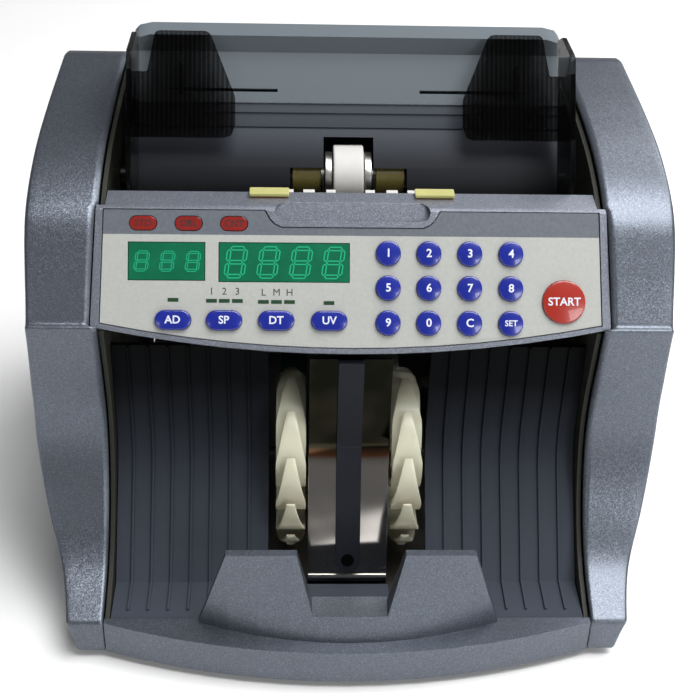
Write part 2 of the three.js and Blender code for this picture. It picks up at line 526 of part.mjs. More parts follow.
keys.push({ name: "key_start", u: 85.2, v: 19.7, d: START_D });
[["add", -71.6], ["speed", -51.3], ["detect", -30.5], ["lamp", -9.3]]
  .forEach(([name, u]) => keys.push({ name: `key_${name}`, u, v: 11.6, d: 7.4, long: 6.6 }));
const KEY_BACK = -6;
const keySolid = ({ u, v, d, long = 0 }, grow = 0, w0 = KEY_BACK, w1 = KEY_RISE - 0.6) => {
  const end = (x) => solidOf(new THREE.CylinderGeometry(d / 2 + grow, d / 2 + grow, w1 - w0, 20)
    .rotateX(Math.PI / 2).translate(x, v, (w0 + w1) / 2));
  if (!long) return end(u);
  const middle = box(u - long / 2, u + long / 2, v - d / 2 - grow, v + d / 2 + grow, w0, w1);
  return join(end(u - long / 2), end(u + long / 2), middle);
};
const keyCap = (key) => {
  const crown = keySolid(key, -1.1, 0, KEY_RISE);
  return join(keySolid(key), crown, keySolid(key, 0.9, KEY_BACK, KEY_BACK + 1));
};
const keyHoles = (grow) => join(...keys.map((key) => keySolid(key, grow, -9, 3)));
const windows = [
  { name: "window_batch", u: -74.3, v: 35.1, w: 30.2, h: 14.9 },
  { name: "window_count", u: -27.4, v: 34.9, w: 51.9, h: 15.4 },
];
const windowBox = ({ u, v, w, h }, grow, w0, w1) =>
  box(u - w / 2 - grow, u + w / 2 + grow, v - h / 2 - grow, v + h / 2 + grow, w0, w1);
const windowHoles = (grow) => join(...windows.map((each) => windowBox(each, grow, -9, 3)));
const lamps = [-83.7, -65.6, -47.5].map((u) => ({ u, v: 50.3, d: 5.5, long: 5.2 }));
const LAMP_STRIP = box(-90, -41, 48.2, 51.8, -6, -4.4);
const lampHoles = (grow) => join(...lamps.map((lamp) => keySolid(lamp, grow, -5, 3)));

const panelProfile = [sloping(-6, 0), sloping(PANEL_TOP - 2, 0), sloping(PANEL_TOP, -1.6), [-9.2, 171.2],
  [-7.2, 169], [-10.5, 150], sloping(22, -PANEL_DEPTH), sloping(-6, -PANEL_DEPTH)];
const hollowProfile = [sloping(2.5, -4), sloping(52, -4), [-13, 166], [-14, 148], sloping(22, -PANEL_DEPTH - 6),
  sloping(2.5, -PANEL_DEPTH - 6)];
const WIDE_TOP = PANEL_TOP + 30;
const wideOutline = [...panelOutline(0).slice(0, -2), [PANEL_TOP_X, WIDE_TOP], [-PANEL_TOP_X, WIDE_TOP]];
const wideSlope = onSlope(alongZ(wideOutline, -60, 8));
const housingFront = alongX(panelProfile, -PANEL_BOTTOM_X - 1, PANEL_BOTTOM_X + 1)
  .intersect(panelPrism(0, -PANEL_DEPTH, 3));
const housingBack = alongX(panelProfile, -PLATE_X + GAP, PLATE_X - GAP).intersect(wideSlope);
const housing = join(housingFront, housingBack);
const fingerRecess = onSlope(join(box(-RECESS_X + 4, RECESS_X - 4, RECESS_LOW, PANEL_TOP + 4, -4, 3),
  ...[-1, 1].map((s) => solidOf(new THREE.CylinderGeometry(4, 4, 7, 16).rotateX(Math.PI / 2)
    .translate(s * (RECESS_X - 4), RECESS_LOW + 4, -0.5)))));
const overlayBed = onSlope(alongZ(overlayOutline(-GAP), OVERLAY_FACE - OVERLAY_THICK - GAP, 3));
const insideFloor = alongX(hollowProfile, -PANEL_TOP_X + SKIN, PANEL_TOP_X - SKIN);
const underRecess = onSlope(box(-34, 34, 46, 70, -9, 3));
add("panel_housing", cut(housing, fingerRecess, overlayBed, insideFloor.subtract(underRecess),
  onSlope(join(keyHoles(0.5), windowHoles(GAP), lampHoles(GAP)))), PAINT);
add("panel_overlay", onSlope(cut(alongZ(overlayOutline(0), OVERLAY_FACE - OVERLAY_THICK, OVERLAY_FACE),
  keyHoles(0.35), windowHoles(0.3), lampHoles(0.3))), OVERLAY);
for (const each of windows) {
  const pane = windowBox(each, 0, -5, OVERLAY_FACE - 0.1);
  add(each.name, onSlope(join(pane, windowBox(each, -1.5, -9.5, -5))), GREEN);
}
const lampCaps = lamps.map((lamp) => keySolid(lamp, 0, -4.9, OVERLAY_FACE + 0.3));
add("lamp_strip", onSlope(join(LAMP_STRIP, ...lampCaps)), RED);
for (const key of keys) add(key.name, onSlope(keyCap(key)), key.name === "key_start" ? RED : BLUE);
add("panel_board", onSlope(box(-94, 97, 12, 47, -12.6, -11)), GREEN_BOARD);

// Yellow retard pads and the white comb at the front edge of the throat.
const padBox = (side) => sideBox(side, 25.6, 41.6, -14, -8.5, 171.6, 173);
add("retard_pad_left", padBox(-1), YELLOW);
add("retard_pad_right", padBox(1), YELLOW);
const teeth = [[8.2, 4], [17.4, 4.8], [25.6, 3.6]].flatMap(([x, w]) => [-1, 1].map((side) =>
  box(side * x - w / 2, side * x + w / 2, -6.6, 5, 160, 165)));
add("throat_comb", join(box(-27.4, 27.4, -6.6, -4.4, 156, 162), ...teeth), WHITE);

export default model;
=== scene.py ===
# Banknote counting machine, in metres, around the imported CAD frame. X right, Y back, Z up.
import json
import math

import bmesh
import bpy
from mathutils import Matrix, Vector
from mathutils.geometry import delaunay_2d_cdt

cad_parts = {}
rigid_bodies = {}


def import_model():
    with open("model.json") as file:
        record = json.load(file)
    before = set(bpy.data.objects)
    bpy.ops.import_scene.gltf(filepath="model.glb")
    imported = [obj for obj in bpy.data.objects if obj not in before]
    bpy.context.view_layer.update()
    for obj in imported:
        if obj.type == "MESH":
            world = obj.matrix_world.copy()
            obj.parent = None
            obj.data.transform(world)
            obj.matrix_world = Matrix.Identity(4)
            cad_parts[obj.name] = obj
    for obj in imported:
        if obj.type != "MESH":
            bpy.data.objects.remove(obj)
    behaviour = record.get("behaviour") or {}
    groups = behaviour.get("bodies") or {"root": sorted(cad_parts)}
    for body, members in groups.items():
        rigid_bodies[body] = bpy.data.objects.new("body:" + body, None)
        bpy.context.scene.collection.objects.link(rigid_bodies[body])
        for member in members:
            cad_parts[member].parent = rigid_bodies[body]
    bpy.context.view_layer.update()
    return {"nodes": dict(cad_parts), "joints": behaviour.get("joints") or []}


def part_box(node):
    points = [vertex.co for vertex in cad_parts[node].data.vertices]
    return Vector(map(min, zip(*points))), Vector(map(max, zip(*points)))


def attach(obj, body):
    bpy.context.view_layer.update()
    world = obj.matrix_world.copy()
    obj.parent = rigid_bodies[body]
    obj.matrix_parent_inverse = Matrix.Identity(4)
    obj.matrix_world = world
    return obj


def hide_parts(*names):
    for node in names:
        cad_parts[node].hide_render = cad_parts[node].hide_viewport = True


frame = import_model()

MM = 0.001
NODES = frame["nodes"]

# ---- the sloping frame: u to the right, v up the panel, w out of its face ------------------
PRESS = Vector(next(j["axis"] for j in frame["joints"] if j["name"] == "key_1_press"))
OUT = -PRESS.normalized()
UP = Vector((0, OUT.z, -OUT.y))
KEY_1_V = 38.8 * MM  # height of the top row of keys above the origin of the slope
OVERLAY_FACE = -0.4 * MM  # the printed film lies a little below the rim


def slope_box(node):
    """Lowest and highest (u, v, w) of a node, before the origin is taken off."""
    rows = [(p.co.x, p.co.dot(UP), p.co.dot(OUT)) for p in NODES[node].data.vertices]
    return [min(c) for c in zip(*rows)], [max(c) for c in zip(*rows)]


KEY_LOW, KEY_HIGH = slope_box("key_1")
SLOPE_V = (KEY_LOW[1] + KEY_HIGH[1]) / 2 - KEY_1_V
SLOPE_W = slope_box("panel_overlay")[1][2] - OVERLAY_FACE
SLOPE = Matrix(((1, 0, 0, 0), (0, UP.y, OUT.y, 0), (0, UP.z, OUT.z, 0), (0, 0, 0, 1)))
SLOPE.translation = UP * SLOPE_V + OUT * SLOPE_W


def sloping(v, w):
    """(y, z) in mm of a point of the slope given in mm."""
    p = SLOPE @ Vector((0, v * MM, w * MM))
    return p.y / MM, p.z / MM


def slope_middle(node):
    """The middle of a node's face, as (u, v) in mm from the origin of the slope."""
    low, high = slope_box(node)
    return (low[0] + high[0]) / 2 / MM, ((low[1] + high[1]) / 2 - SLOPE_V) / MM


def on_slope(u, v, w):
    """The matrix of a small part's own frame at (u, v, w) of the slope; u and v in mm, w in metres."""
    return SLOPE @ Matrix.Translation((u * MM, v * MM, w))


# ---- curves and outlines -------------------------------------------------------------------
def spline(points, steps):
    """A smooth curve through the points, as three.js's SplineCurve draws it."""
    n = len(points) - 1
    out = []
    for k in range(steps + 1):
        s = k * n / steps
        i = min(int(s), n - 1)
        t = s - i
        p0, p1, p2, p3 = (points[max(min(i + j, n), 0)] for j in (-1, 0, 1, 2))
        out.append(tuple(
            0.5 * (2 * b + (c - a) * t + (2 * a - 5 * b + 4 * c - d) * t * t
                   + (3 * b - a - 3 * c + d) * t ** 3)
            for a, b, c, d in zip(p0, p1, p2, p3)))
    return out


def rounded(points, radii, steps=6):
    """A closed outline whose corners are rounded, each by its own radius."""
    out = []
    n = len(points)
    for i, p in enumerate(points):
        r = radii[i] if isinstance(radii, (list, tuple)) else radii
        p = Vector(p)
        a = Vector(points[i - 1]) - p
        b = Vector(points[(i + 1) % n]) - p
        if r <= 0:
            out.append(tuple(p))
            continue
        half = a.angle(b) / 2
        back = min(r / math.tan(half), a.length * 0.49, b.length * 0.49)
        start, end = p + a.normalized() * back, p + b.normalized() * back
        for k in range(steps + 1):
            t = k / steps
            out.append(tuple(start * (1 - t) ** 2 + p * (2 * t * (1 - t)) + end * t * t))
    return out


def rectangle(x, y, half_x, half_y, r):
    """An upright rectangle with rounded corners."""
    return rounded([(x - half_x, y - half_y), (x + half_x, y - half_y), (x + half_x, y + half_y),
                    (x - half_x, y + half_y)], r, 3)


def circle(x, y, r, steps=32):
    return [(x + r * math.cos(2 * math.pi * k / steps), y + r * math.sin(2 * math.pi * k / steps))
            for k in range(steps)]


def stadium(x, y, half, r, steps=12):
    """A round-ended bar: half is the distance from its middle to the centre of each end."""
    right = [(x + half + r * math.cos(a), y + r * math.sin(a))
             for a in (math.pi * (k / steps - 0.5) for k in range(steps + 1))]
    left = [(2 * x - px, 2 * y - py) for px, py in right]
    return right + left


# ---- meshes --------------------------------------------------------------------------------
def in_scene(name, data):
    """A new object of the scene around a mesh, a curve, a light or a camera."""
    obj = bpy.data.objects.new(name, data)
    bpy.context.scene.collection.objects.link(obj)
    return obj


def mesh_object(name, verts, faces):
    """A mesh whose points are given in mm."""
    mesh = bpy.data.meshes.new(name)
    mesh.from_pydata([Vector(v) * MM for v in verts], [], faces)
    mesh.validate()
    mesh.update()
    return in_scene(name, mesh)


def face_out(obj):
    """Turns every face outwards and drops doubled points."""
    bm = bmesh.new()
    bm.from_mesh(obj.data)
    bmesh.ops.remove_doubles(bm, verts=bm.verts, dist=1e-6)
    bmesh.ops.recalc_face_normals(bm, faces=bm.faces)
    bm.to_mesh(obj.data)
    bm.free()


def soften(obj, bevel=0.0, segments=3, angle=32, weld=False):
    """Smooth shading, with edges over an angle rounded."""
    for p in obj.data.polygons:
        p.use_smooth = True
    if weld:
        if "custom_normal" in obj.data.attributes:
            obj.data.attributes.remove(obj.data.attributes["custom_normal"])
        obj.modifiers.new("weld", "WELD").merge_threshold = 1e-6
    if bevel:
        mod = obj.modifiers.new("bevel", "BEVEL")
        mod.width = bevel * MM
        mod.segments = segments
        mod.limit_method = "ANGLE"
        mod.angle_limit = math.radians(angle)
        mod.harden_normals = False
    mod = obj.modifiers.new("normals", "WEIGHTED_NORMAL")
    mod.keep_sharp = True


def piece(obj, material, body="casing", replaces=()):
    obj.data.materials.clear()
    obj.data.materials.append(material)
    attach(obj, body)
    if replaces:
        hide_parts(*replaces)


def mesh_of(curve):
    """The mesh of a curve or of a text, which is used up."""
    holder = in_scene(curve.name, curve)
    bpy.context.view_layer.update()
    mesh = bpy.data.meshes.new_from_object(holder.evaluated_get(bpy.context.evaluated_depsgraph_get()))
    bpy.data.objects.remove(holder)
    bpy.data.curves.remove(curve)
    mesh.materials.clear()
    return mesh


def plate(name, outlines, depth, bevel, matrix):
    """A flat plate from closed outlines (holes too), its back at 0 and its face at depth, in mm."""
    curve = bpy.data.curves.new(name + "_outline", "CURVE")
    curve.dimensions = "2D"
    curve.fill_mode = "BOTH"
    curve.extrude = (depth / 2 - bevel) * MM
    curve.bevel_depth = bevel * MM
    curve.bevel_resolution = 2
    curve.offset = -bevel * MM
    for outline in outlines:
        s = curve.splines.new("POLY")
        s.points.add(len(outline) - 1)
        for point, (x, y) in zip(s.points, outline):
            point.co = (x * MM, y * MM, 0, 1)
        s.use_cyclic_u = True
    mesh = mesh_of(curve)
    mesh.transform(matrix @ Matrix.Translation((0, 0, depth / 2 * MM)))
    obj = in_scene(name, mesh)
    face_out(obj)
    return obj


def lettering(name, text, size, matrix, depth, bold):
    """Raised lettering in the built-in font, centred, its back on the plane of the matrix."""
    curve = bpy.data.curves.new(name + "_text", "FONT")
    curve.body = text
    curve.size = size * MM
    curve.align_x = "CENTER"
    curve.align_y = "CENTER"
    curve.extrude = depth / 2 * MM
    curve.offset = bold * MM
    curve.resolution_u = 3
    mesh = mesh_of(curve)
    mesh.transform(Matrix.Translation((0, 0, depth / 2 * MM)))
    mesh.transform(matrix)
    return in_scene(name, mesh)


def join(name, parts):
    """One object from several, in the first one's place."""
    for obj in bpy.context.scene.objects:
        obj.select_set(False)
    for p in parts:
        p.select_set(True)
    bpy.context.view_layer.objects.active = parts[0]
    bpy.ops.object.join()
    obj = bpy.context.view_layer.objects.active
    obj.select_set(False)
    obj.name = name
    obj.data.name = name
    return obj


def stacked(name, rings):
    """A skin over rings of equal length, in mm, closed at both ends."""
    verts = [p for ring in rings for p in ring]
    n = len(rings[0])
    faces = [(k * n + i, k * n + (i + 1) % n, (k + 1) * n + (i + 1) % n, (k + 1) * n + i)
             for k in range(len(rings) - 1) for i in range(n)]
    faces.append(tuple(reversed(range(n))))
    faces.append(tuple(range(len(verts) - n, len(verts))))
    obj = mesh_object(name, verts, faces)
    face_out(obj)
    return obj


def turned(name, profile, centre, steps=64):
    """A solid of revolution about an X axis through centre (y, z); profile is (x, radius), in mm."""
    cy, cz = centre
    rings = [[(x, cy + r * math.cos(2 * math.pi * k / steps), cz + r * math.sin(2 * math.pi * k / steps))
              for k in range(steps)] for x, r in profile]
    return stacked(name, rings)


# ---- materials -----------------------------------------------------------------------------
def material(name, color, roughness, metallic=0.0, **sockets):
    m = bpy.data.materials.new(name)
    m.use_nodes = True
    bsdf = m.node_tree.nodes["Principled BSDF"]
    bsdf.inputs["Base Color"].default_value = (*color, 1)
    bsdf.inputs["Roughness"].default_value = roughness
    bsdf.inputs["Metallic"].default_value = metallic
    for key, value in sockets.items():
        bsdf.inputs[key.replace("_", " ")].default_value = value
    return m


def add_node(m, kind, inputs=None, **settings):
    n = m.node_tree.nodes.new(kind)
    for key, value in settings.items():
        setattr(n, key, value)
    for key, value in (inputs or {}).items():
        if isinstance(value, bpy.types.NodeSocket):
            m.node_tree.links.new(value, n.inputs[key])
        else:
            n.inputs[key].default_value = value
    return n


def link(m, output, socket):
    m.node_tree.links.new(output, m.node_tree.nodes["Principled BSDF"].inputs[socket])


def position(m):
    return add_node(m, "ShaderNodeTexCoord").outputs["Object"]


def noise(m, scale, detail, where=None):
    inputs = {"Vector": where or position(m), "Scale": scale, "Detail": detail}
    return add_node(m, "ShaderNodeTexNoise", inputs).outputs["Fac"]


def ramp(m, value, stops):
    """A colour ramp; stops are (position, (r, g, b))."""
    n = add_node(m, "ShaderNodeValToRGB", {"Fac": value})
    elements = n.color_ramp.elements
    while len(elements) < len(stops):
        elements.new(0.5)
    for element, (at, color) in zip(elements, stops):
        element.position = at
        element.color = (*color, 1)
    return n.outputs["Color"]


def spread(m, value, low, high):
    """A value of 0 to 1 spread between low and high."""
    inputs = {"Value": value, "To Min": low, "To Max": high}
    return add_node(m, "ShaderNodeMapRange", inputs).outputs["Result"]


def level(m, value, low, high):
    """Where a value stands between low and high, as 0 to 1."""
    inputs = {"Value": value, "From Min": low, "From Max": high}
    return add_node(m, "ShaderNodeMapRange", inputs).outputs["Result"]


def math_node(m, operation, *values):
    return add_node(m, "ShaderNodeMath", dict(enumerate(values)), operation=operation).outputs["Value"]


def along(m, axis):
    """A coordinate of the point, in metres."""
    return add_node(m, "ShaderNodeSeparateXYZ", {"Vector": position(m)}).outputs[axis]


def up_slope(m, where):
    """The height of the point up the slope, in metres, before the origin is taken off."""
    inputs = {0: where, 1: tuple(UP)}
    return add_node(m, "ShaderNodeVectorMath", inputs, operation="DOT_PRODUCT").outputs["Value"]


def bump(m, height, distance):
    n = add_node(m, "ShaderNodeBump", {"Height": height, "Distance": distance, "Strength": 1.0})
    link(m, n.outputs["Normal"], "Normal")


def shade(color, factor):
    return tuple(min(c * factor, 1.0) for c in color)


FLAKE_SCALE = 3400  # flakes in a metre


def metallic_paint(name, color, roughness, flake_tilt=0.16, contrast=0.35):
    """Metallic paint: fine flakes, each with its own tilt and brightness, over a slow drift of tone."""
    m = material(name, color, roughness, 0.75, Coat_Weight=0.15, Coat_Roughness=0.32)
    flakes = {"Vector": position(m), "Scale": FLAKE_SCALE, "Randomness": 1.0}
    cells = add_node(m, "ShaderNodeTexVoronoi", flakes).outputs["Color"]
    parts = add_node(m, "ShaderNodeSeparateColor", {"Color": cells}).outputs
    tone = ramp(m, parts["Red"], [(0.0, shade(color, 1 - contrast * 0.6)), (0.6, color),
                                  (0.9, shade(color, 1 + contrast * 0.6)),
                                  (1.0, shade(color, 1 + contrast * 2))])
    drift = spread(m, noise(m, 28, 2), 0.94, 1.06)
    mixed = add_node(m, "ShaderNodeVectorMath", {0: tone, "Scale": drift}, operation="SCALE")
    link(m, mixed.outputs["Vector"], "Base Color")
    centred = add_node(m, "ShaderNodeVectorMath", {0: cells, 1: (0.5, 0.5, 0.5)}, operation="SUBTRACT")
    tilt = add_node(m, "ShaderNodeVectorMath", {0: centred.outputs["Vector"], "Scale": flake_tilt},
                    operation="SCALE")
    normal = add_node(m, "ShaderNodeNewGeometry").outputs["Normal"]
    summed = add_node(m, "ShaderNodeVectorMath", {0: normal, 1: tilt.outputs["Vector"]}, operation="ADD")
    unit = add_node(m, "ShaderNodeVectorMath", {0: summed.outputs["Vector"]}, operation="NORMALIZE")
    grain = add_node(m, "ShaderNodeBump", {"Height": noise(m, 1500, 2), "Distance": 0.00002, "Strength": 0.4,
                                           "Normal": unit.outputs["Vector"]})
    link(m, grain.outputs["Normal"], "Normal")
    link(m, spread(m, parts["Green"], roughness - 0.05, roughness + 0.08), "Roughness")
    return m


def moulded(name, color, roughness, grain=900, depth=0.00003, vary=0.08, **sockets):
    """Moulded plastic or rubber: fine grain, with a slow drift of tone and gloss."""
    m = material(name, color, roughness, **sockets)
    drift = noise(m, 60, 4)
    link(m, ramp(m, drift, [(0.3, shade(color, 1 - vary)), (0.7, shade(color, 1 + vary))]), "Base Color")
    link(m, spread(m, noise(m, 220, 3), roughness - 0.05, roughness + 0.07), "Roughness")
    bump(m, noise(m, grain, 2), depth)
    return m


def brushed(name, color, roughness, axis):
    """Metal with fine scratches along one axis."""
    m = material(name, color, roughness, 1.0)
    scale = {"X": (30, 1400, 1400), "Y": (1400, 30, 1400)}[axis]
    mapped = add_node(m, "ShaderNodeMapping", {"Vector": position(m), "Scale": scale}).outputs["Vector"]
    lines = noise(m, 1.0, 3, mapped)
    link(m, ramp(m, lines, [(0.3, shade(color, 0.86)), (0.7, shade(color, 1.06))]), "Base Color")
    link(m, spread(m, lines, roughness - 0.05, roughness + 0.12), "Roughness")
    bump(m, lines, 0.00001)
    return m


SILVER = (0.50, 0.49, 0.46)
PAINT = metallic_paint("paint", (0.112, 0.127, 0.154), roughness=0.38)
BEZEL = metallic_paint("bezel_paint", (0.185, 0.202, 0.240), roughness=0.46, flake_tilt=0.11, contrast=0.3)
PLATE = moulded("side_plate_paint", (0.028, 0.029, 0.023), 0.5, Specular_IOR_Level=0.2)
LENS = moulded("sensor_lens", (0.002, 0.002, 0.002), 0.6, Specular_IOR_Level=0.02)
ARM = moulded("arm_plastic", (0.012, 0.014, 0.019), 0.5, Specular_IOR_Level=0.15)
BLACK = moulded("black_plastic", (0.012, 0.012, 0.014), 0.5)
RUBBER = moulded("black_rubber", (0.016, 0.016, 0.017), 0.75, grain=500)
STEEL = brushed("plate_steel", (0.42, 0.41, 0.37), 0.32, "Y")
TURNED_STEEL = brushed("turned_steel", SILVER, 0.3, "X")
CREAM = moulded("cream_plastic", (0.60, 0.57, 0.43), 0.3, vary=0.04, Subsurface_Weight=0.1)
WHITE = moulded("white_rubber", (0.54, 0.53, 0.51), 0.6, grain=700)
YELLOW = moulded("yellow_rubber", (0.46, 0.40, 0.15), 0.45, Subsurface_Weight=0.2)
AMBER = moulded("amber_rubber", (0.085, 0.070, 0.018), 0.28, grain=700)
BOARD = moulded("circuit_board", (0.004, 0.022, 0.010), 0.4, vary=0.2)
BLUE = moulded("blue_key", (0.008, 0.017, 0.23), 0.22, depth=0.000004, vary=0.05, Coat_Weight=0.6)
RED = moulded("red_key", (0.31, 0.020, 0.011), 0.24, depth=0.000004, vary=0.05, Coat_Weight=0.5)
LAMP = moulded("red_lamp", (0.20, 0.010, 0.007), 0.3, depth=0.000004, vary=0.12)
INK = moulded("white_ink", (0.60, 0.62, 0.70), 0.5, vary=0.02)
GREY_INK = moulded("grey_ink", (0.022, 0.022, 0.026), 0.6, vary=0.05)
LAMP_INK = moulded("lamp_ink", (0.012, 0.005, 0.005), 0.6, vary=0.05)
LED = moulded("led_bar", (0.010, 0.042, 0.016), 0.35, vary=0.1)
SEGMENT = moulded("segment", (0.010, 0.33, 0.165), 0.3, vary=0.06)


STRIPE_V = 45.8  # height of the lower edge of the film's dark stripe
REED_PITCH = 2.0  # distance between the fine upright reeds of the note guides


def bed_paint():
    """Satin grey above the step of the bed; below the step it is darker, and painted shade fades it to near
    black down the curve.
    """
    m = material("bed_paint", (0.15, 0.18, 0.20), 0.45, Specular_IOR_Level=0.08)
    height = up_slope(m, position(m))
    grain = spread(m, noise(m, 1300, 3), -0.02, 0.02)
    # Painted shade: below the step the colour falls to near black towards the bottom of the curve.
    tone = math_node(m, "ADD", level(m, height, SLOPE_V + 70 * MM, SLOPE_V + 130 * MM), grain)
    link(m, ramp(m, tone, [(0.0, (0.004, 0.005, 0.006)), (0.22, (0.012, 0.014, 0.018)),
                           (0.42, (0.042, 0.047, 0.058)), (0.632, (0.060, 0.067, 0.079)),
                           (0.648, (0.118, 0.138, 0.154))]), "Base Color")
    bump(m, noise(m, 1500, 2), 0.00002)
    return m


def pocket_plastic():
    """The pocket's dark wall, with painted shade that takes it to nearly black where it runs up under the
    panel.
    """
    m = material("pocket_plastic", (0.03, 0.035, 0.044), 0.5, Specular_IOR_Level=0.05)
    haze = spread(m, noise(m, 50, 3), -0.04, 0.04)
    # Painted shade: the colour darkens with height, to near black under the panel.
    tone = math_node(m, "ADD", level(m, along(m, "Z"), 20 * MM, 120 * MM), haze)
    link(m, ramp(m, tone, [(0.0, (0.050, 0.058, 0.074)), (0.35, (0.034, 0.039, 0.050)),
                           (0.75, (0.003, 0.004, 0.005)), (1.0, (0.001, 0.001, 0.001))]), "Base Color")
    bump(m, noise(m, 900, 2), 0.00003)
    return m


def shaft_steel():
    """Turned steel at the hubs in the middle, blackened towards the shaft's ends."""
    m = brushed("shaft_steel", SILVER, 0.3, "X")
    haze = spread(m, noise(m, 300, 3), -0.1, 0.1)
    away = math_node(m, "ABSOLUTE", along(m, "X"))
    tone = math_node(m, "ADD", level(m, away, 20 * MM, 30 * MM), haze)
    link(m, ramp(m, tone, [(0.3, SILVER), (0.7, (0.03, 0.03, 0.032))]), "Base Color")
    return m


def mirror_steel():
    """Polished steel with a painted reflection in its colour: pale below the bend and dark above it, with a
    brown band at the bend.
    """
    m = material("mirror_steel", (0.30, 0.28, 0.27), 0.08, 1.0)
    haze = spread(m, noise(m, 30, 2), -0.15, 0.15)
    # Painted reflection: the colour is pale low down and dark above the bend.
    tone = math_node(m, "ADD", level(m, along(m, "Z"), 66 * MM, 76 * MM), haze)
    link(m, ramp(m, tone, [(0.0, (0.70, 0.66, 0.62)), (0.25, (0.55, 0.52, 0.47)), (0.45, (0.30, 0.13, 0.06)),
                           (0.75, (0.05, 0.043, 0.028)), (1.0, (0.006, 0.006, 0.004))]), "Base Color")
    bump(m, noise(m, 32, 1), 0.0006)
    return m


def green_window():
    """The tinted window over a display, with a slow drift of tone."""
    m = material("green_window", (0.003, 0.10, 0.055), 0.35, Specular_IOR_Level=0.25)
    tone = ramp(m, noise(m, 90, 4), [(0.35, (0.001, 0.096, 0.044)), (0.7, (0.002, 0.122, 0.058))])
    link(m, tone, "Base Color")
    bump(m, noise(m, 400, 2), 0.000008)
    return m


def printed_film():
    """The panel's film: light grey, with a darker stripe along its top."""
    m = material("printed_film", (0.50, 0.51, 0.48), 0.42)
    stripe = math_node(m, "GREATER_THAN", up_slope(m, position(m)), SLOPE_V + STRIPE_V * MM)
    fine = noise(m, 700, 2)
    pale = ramp(m, fine, [(0.3, (0.350, 0.358, 0.338)), (0.7, (0.382, 0.390, 0.370))])
    grey = ramp(m, fine, [(0.3, (0.090, 0.102, 0.122)), (0.7, (0.115, 0.128, 0.150))])
    mix = m.node_tree.nodes.new("ShaderNodeMix")
    mix.data_type = "RGBA"
    factor, first, second, result = mix.inputs["Factor"], mix.inputs[6], mix.inputs[7], mix.outputs[2]
    for output, socket in ((stripe, factor), (pale, first), (grey, second)):
        m.node_tree.links.new(output, socket)
    link(m, result, "Base Color")
    bump(m, noise(m, 1600, 2), 0.00001)
    return m


def smoked():
    """Smoked clear plastic with fine upright reeds, as ridges of gloss across X and a painted sheen along
    each reed in its tint.
    """
    m = material("smoked_plastic", (0.15, 0.145, 0.14), 0.05, Transmission_Weight=1.0, IOR=1.2)
    wave = math_node(m, "SINE", math_node(m, "MULTIPLY", along(m, "X"), 2 * math.pi / (REED_PITCH * MM)))
    haze = spread(m, noise(m, 40, 3), -0.3, 0.3)
    gloss = level(m, math_node(m, "ADD", wave, haze), -1.3, 1.3)
    # Painted sheen: the tint is lighter along each reed.
    link(m, ramp(m, gloss, [(0.0, (0.10, 0.096, 0.092)), (0.65, (0.15, 0.145, 0.14)),
                            (1.0, (0.34, 0.335, 0.33))]), "Base Color")
    link(m, spread(m, gloss, 0.03, 0.09), "Roughness")
    return m


BED = bed_paint()
POCKET = pocket_plastic()
SHAFT = shaft_steel()
MIRROR = mirror_steel()
WINDOW = green_window()
FILM = printed_film()
SMOKED = smoked()


# ---- carried-over CAD nodes ----------------------------------------------------------------
def dress(mat, bevel, *names):
    """Gives CAD nodes a material and rounds their edges by bevel, in mm."""
    for name in names:
        obj = NODES[name]
        obj.data.materials.clear()
        obj.data.materials.append(mat)
        soften(obj, bevel, weld=True)


dress(PAINT, 0.8, "front_molding")
dress(BEZEL, 0.7, "panel_housing")
dress(PAINT, 0.8, "rear_cover")
dress(BED, 0.5, "hopper_tray")
dress(POCKET, 0.25, "pocket_wall")
dress(PLATE, 0.3, "side_plate_left", "side_plate_right")
dress(STEEL, 0.5, "base_pan", "power_supply")
dress(BLACK, 0.5, "motor")
dress(MIRROR, 0.2, "stripper_plate")
dress(FILM, 0.1, "panel_overlay")
dress(WINDOW, 0.15, "window_batch", "window_count")
dress(LAMP, 0.2, "lamp_strip")
dress(BOARD, 0.2, "panel_board", "main_board")
dress(YELLOW, 0.4, "retard_pad_left", "retard_pad_right")
dress(WHITE, 0.3, "throat_comb")
dress(SHAFT, 0.4, "pickup_shaft")
dress(TURNED_STEEL, 0.4, "motor_pulley")
dress(BLACK, 0.4, "stacker_shaft")
dress(RUBBER, 0.5, "feed_drum", "drive_belt")
dress(BLACK, 0.4, "stacker_pulley")
dress(BLACK, 0.3, "power_inlet")
dress(RED, 0.4, "power_rocker")
dress(RUBBER, 0.6, "foot_front_left", "foot_front_right", "foot_rear_left", "foot_rear_right")


# ---- side covers ---------------------------------------------------------------------------
TOE_Y, BACK_Y = -102.7, 119.2  # front foot and back of a cover
BASE_Z, LIP_Z, COVER_TOP = 3.6, 20.0, 184.0
INNER_X = 101.7  # inner edge of the band round a cover
EDGE_ROUND = 1.8  # rounding between the cover's band and its flank
SHELL = 2.0  # wall thickness of a cover


def resampled(points, pitch):
    """A closed outline with points at an even pitch."""
    out = []
    n = len(points)
    for i in range(n):
        a, b = Vector(points[i]), Vector(points[(i + 1) % n])
        steps = max(1, round((b - a).length / pitch))
        out += [tuple(a.lerp(b, k / steps)) for k in range(steps)]
    return out


def relaxed(points, rounds):
    """Corners eased by averaging each point with its neighbours."""
    for _ in range(rounds):
        n = len(points)
        points = [tuple((points[i - 1][c] + 2 * points[i][c] + points[(i + 1) % n][c]) / 4 for c in (0, 1))
                  for i in range(n)]
    return points


def hand(side):
    return "left" if side < 0 else "right"


